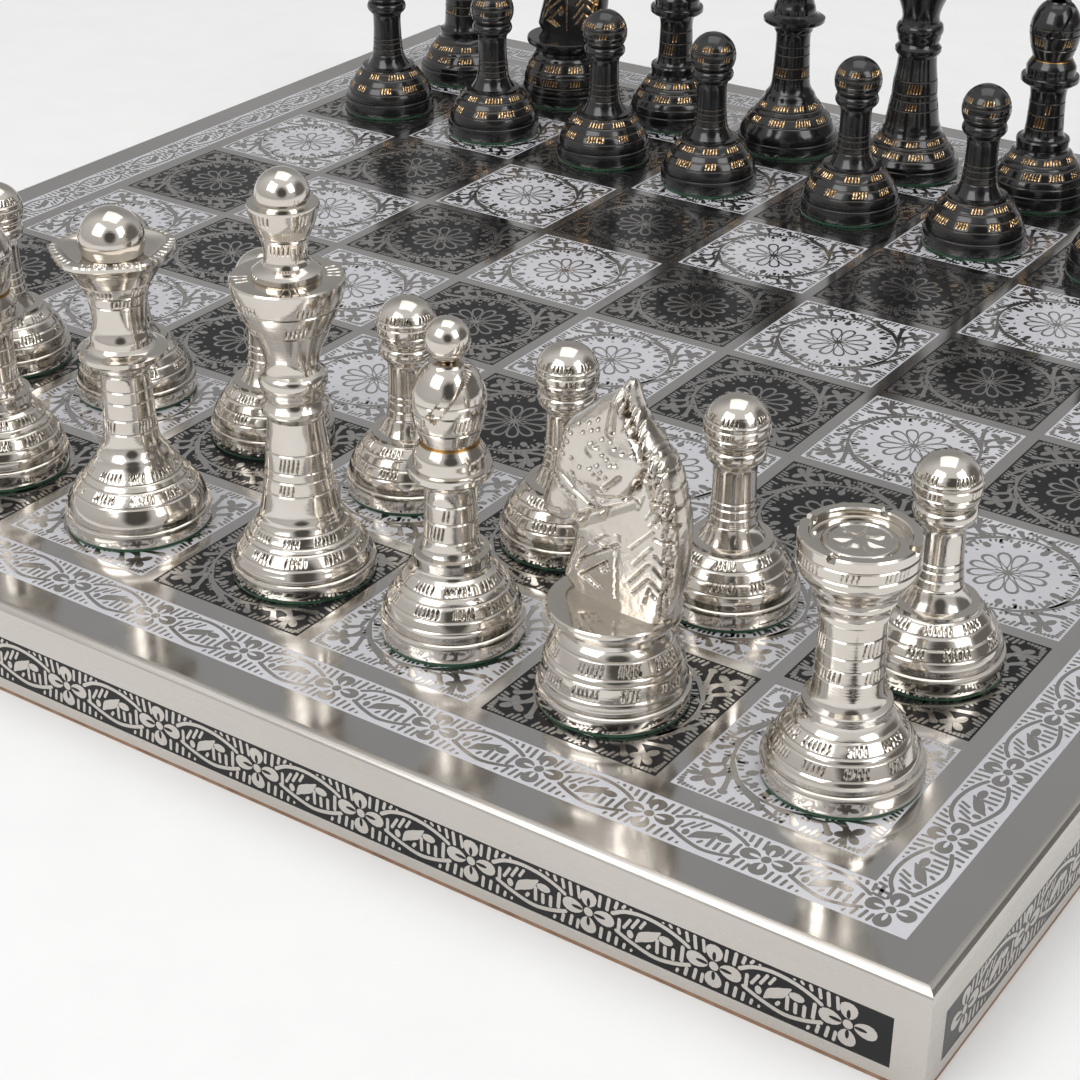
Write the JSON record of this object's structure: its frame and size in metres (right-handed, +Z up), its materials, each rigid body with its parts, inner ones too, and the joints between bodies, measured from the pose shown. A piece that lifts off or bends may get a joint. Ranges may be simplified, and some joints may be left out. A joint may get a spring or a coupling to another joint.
{
  "type": "chess set with board",
  "caption": "Etched metal and lacquer chess board with two armies of turned and cast metal pieces, each resting on its own green felt disc and free to lift off.",
  "frame": {"origin": "centre of the board's underside, on the table", "axes": "+Z up; +X to the silver player's right, from file a to file h; +Y from the silver army to the black army"},
  "size_m": [0.3556, 0.3556, 0.1021],
  "materials": {
    "polished_nickel": "mirror polished, slightly warm",
    "black_lacquer": "high gloss black over brass, cuts left bright gold",
    "etched_nickel": "polished sheet with etched pockets",
    "satin_nickel": "satin",
    "white_enamel": "semi-gloss fired lacquer",
    "black_enamel": "gloss fired lacquer",
    "core_wood": "plain",
    "panel_wood": "stained",
    "green_felt": "felt"
  },
  "bodies": {
    "board": {"base_panel": "panel_wood", "board_core": "core_wood", "border_enamel": "white_enamel", "dark_square_enamel": "black_enamel", "light_square_enamel": "white_enamel", "side_enamel": "black_enamel", "side_strip_back": "satin_nickel", "side_strip_front": "satin_nickel", "side_strip_left": "satin_nickel", "side_strip_right": "satin_nickel", "top_plate": "etched_nickel"},
    "black_bishop_c": {"black_bishop_c": "black_lacquer", "black_bishop_c_mitre": "black_lacquer"},
    "black_bishop_f": {"black_bishop_f": "black_lacquer", "black_bishop_f_mitre": "black_lacquer"},
    "black_king": {"black_king": "black_lacquer", "black_king_crown": "black_lacquer"},
    "black_knight_b": {"black_knight_b": "black_lacquer", "black_knight_b_head": "black_lacquer"},
    "black_knight_g": {"black_knight_g": "black_lacquer", "black_knight_g_head": "black_lacquer"},
    "black_pawn_a": {"black_pawn_a": "black_lacquer"},
    "black_pawn_b": {"black_pawn_b": "black_lacquer"},
    "black_pawn_c": {"black_pawn_c": "black_lacquer"},
    "black_pawn_d": {"black_pawn_d": "black_lacquer"},
    "black_pawn_e": {"black_pawn_e": "black_lacquer"},
    "black_pawn_f": {"black_pawn_f": "black_lacquer"},
    "black_pawn_g": {"black_pawn_g": "black_lacquer"},
    "black_pawn_h": {"black_pawn_h": "black_lacquer"},
    "black_queen": {"black_queen": "black_lacquer", "black_queen_orb": "black_lacquer"},
    "black_rook_a": {"black_rook_a": "black_lacquer"},
    "black_rook_h": {"black_rook_h": "black_lacquer"},
    "silver_bishop_c": {"silver_bishop_c": "polished_nickel", "silver_bishop_c_mitre": "polished_nickel"},
    "silver_bishop_f": {"silver_bishop_f": "polished_nickel", "silver_bishop_f_mitre": "polished_nickel"},
    "silver_king": {"silver_king": "polished_nickel", "silver_king_crown": "polished_nickel"},
    "silver_knight_b": {"silver_knight_b": "polished_nickel", "silver_knight_b_head": "polished_nickel"},
    "silver_knight_g": {"silver_knight_g": "polished_nickel", "silver_knight_g_head": "polished_nickel"},
    "silver_pawn_a": {"silver_pawn_a": "polished_nickel"},
    "silver_pawn_b": {"silver_pawn_b": "polished_nickel"},
    "silver_pawn_c": {"silver_pawn_c": "polished_nickel"},
    "silver_pawn_d": {"silver_pawn_d": "polished_nickel"},
    "silver_pawn_e": {"silver_pawn_e": "polished_nickel"},
    "silver_pawn_f": {"silver_pawn_f": "polished_nickel"},
    "silver_pawn_g": {"silver_pawn_g": "polished_nickel"},
    "silver_pawn_h": {"silver_pawn_h": "polished_nickel"},
    "silver_queen": {"silver_queen": "polished_nickel", "silver_queen_orb": "polished_nickel"},
    "silver_rook_a": {"silver_rook_a": "polished_nickel"},
    "silver_rook_h": {"silver_rook_h": "polished_nickel"}
  },
  "joints": [
    {"name": "lift_black_bishop_c", "type": "slide", "parent": "board", "child": "black_bishop_c", "axis": [0, 0, 1], "range_m": [0, 0.12]},
    {"name": "lift_black_bishop_f", "type": "slide", "parent": "board", "child": "black_bishop_f", "axis": [0, 0, 1], "range_m": [0, 0.12]},
    {"name": "lift_black_king", "type": "slide", "parent": "board", "child": "black_king", "axis": [0, 0, 1], "range_m": [0, 0.12]},
    {"name": "lift_black_knight_b", "type": "slide", "parent": "board", "child": "black_knight_b", "axis": [0, 0, 1], "range_m": [0, 0.12]},
    {"name": "lift_black_knight_g", "type": "slide", "parent": "board", "child": "black_knight_g", "axis": [0, 0, 1], "range_m": [0, 0.12]},
    {"name": "lift_black_pawn_a", "type": "slide", "parent": "board", "child": "black_pawn_a", "axis": [0, 0, 1], "range_m": [0, 0.12]},
    {"name": "lift_black_pawn_b", "type": "slide", "parent": "board", "child": "black_pawn_b", "axis": [0, 0, 1], "range_m": [0, 0.12]},
    {"name": "lift_black_pawn_c", "type": "slide", "parent": "board", "child": "black_pawn_c", "axis": [0, 0, 1], "range_m": [0, 0.12]},
    {"name": "lift_black_pawn_d", "type": "slide", "parent": "board", "child": "black_pawn_d", "axis": [0, 0, 1], "range_m": [0, 0.12]},
    {"name": "lift_black_pawn_e", "type": "slide", "parent": "board", "child": "black_pawn_e", "axis": [0, 0, 1], "range_m": [0, 0.12]},
    {"name": "lift_black_pawn_f", "type": "slide", "parent": "board", "child": "black_pawn_f", "axis": [0, 0, 1], "range_m": [0, 0.12]},
    {"name": "lift_black_pawn_g", "type": "slide", "parent": "board", "child": "black_pawn_g", "axis": [0, 0, 1], "range_m": [0, 0.12]},
    {"name": "lift_black_pawn_h", "type": "slide", "parent": "board", "child": "black_pawn_h", "axis": [0, 0, 1], "range_m": [0, 0.12]},
    {"name": "lift_black_queen", "type": "slide", "parent": "board", "child": "black_queen", "axis": [0, 0, 1], "range_m": [0, 0.12]},
    {"name": "lift_black_rook_a", "type": "slide", "parent": "board", "child": "black_rook_a", "axis": [0, 0, 1], "range_m": [0, 0.12]},
    {"name": "lift_black_rook_h", "type": "slide", "parent": "board", "child": "black_rook_h", "axis": [0, 0, 1], "range_m": [0, 0.12]},
    {"name": "lift_silver_bishop_c", "type": "slide", "parent": "board", "child": "silver_bishop_c", "axis": [0, 0, 1], "range_m": [0, 0.12]},
    {"name": "lift_silver_bishop_f", "type": "slide", "parent": "board", "child": "silver_bishop_f", "axis": [0, 0, 1], "range_m": [0, 0.12]},
    {"name": "lift_silver_king", "type": "slide", "parent": "board", "child": "silver_king", "axis": [0, 0, 1], "range_m": [0, 0.12]},
    {"name": "lift_silver_knight_b", "type": "slide", "parent": "board", "child": "silver_knight_b", "axis": [0, 0, 1], "range_m": [0, 0.12]},
    {"name": "lift_silver_knight_g", "type": "slide", "parent": "board", "child": "silver_knight_g", "axis": [0, 0, 1], "range_m": [0, 0.12]},
    {"name": "lift_silver_pawn_a", "type": "slide", "parent": "board", "child": "silver_pawn_a", "axis": [0, 0, 1], "range_m": [0, 0.12]},
    {"name": "lift_silver_pawn_b", "type": "slide", "parent": "board", "child": "silver_pawn_b", "axis": [0, 0, 1], "range_m": [0, 0.12]},
    {"name": "lift_silver_pawn_c", "type": "slide", "parent": "board", "child": "silver_pawn_c", "axis": [0, 0, 1], "range_m": [0, 0.12]},
    {"name": "lift_silver_pawn_d", "type": "slide", "parent": "board", "child": "silver_pawn_d", "axis": [0, 0, 1], "range_m": [0, 0.12]},
    {"name": "lift_silver_pawn_e", "type": "slide", "parent": "board", "child": "silver_pawn_e", "axis": [0, 0, 1], "range_m": [0, 0.12]},
    {"name": "lift_silver_pawn_f", "type": "slide", "parent": "board", "child": "silver_pawn_f", "axis": [0, 0, 1], "range_m": [0, 0.12]},
    {"name": "lift_silver_pawn_g", "type": "slide", "parent": "board", "child": "silver_pawn_g", "axis": [0, 0, 1], "range_m": [0, 0.12]},
    {"name": "lift_silver_pawn_h", "type": "slide", "parent": "board", "child": "silver_pawn_h", "axis": [0, 0, 1], "range_m": [0, 0.12]},
    {"name": "lift_silver_queen", "type": "slide", "parent": "board", "child": "silver_queen", "axis": [0, 0, 1], "range_m": [0, 0.12]},
    {"name": "lift_silver_rook_a", "type": "slide", "parent": "board", "child": "silver_rook_a", "axis": [0, 0, 1], "range_m": [0, 0.12]},
    {"name": "lift_silver_rook_h", "type": "slide", "parent": "board", "child": "silver_rook_h", "axis": [0, 0, 1], "range_m": [0, 0.12]}
  ]
}
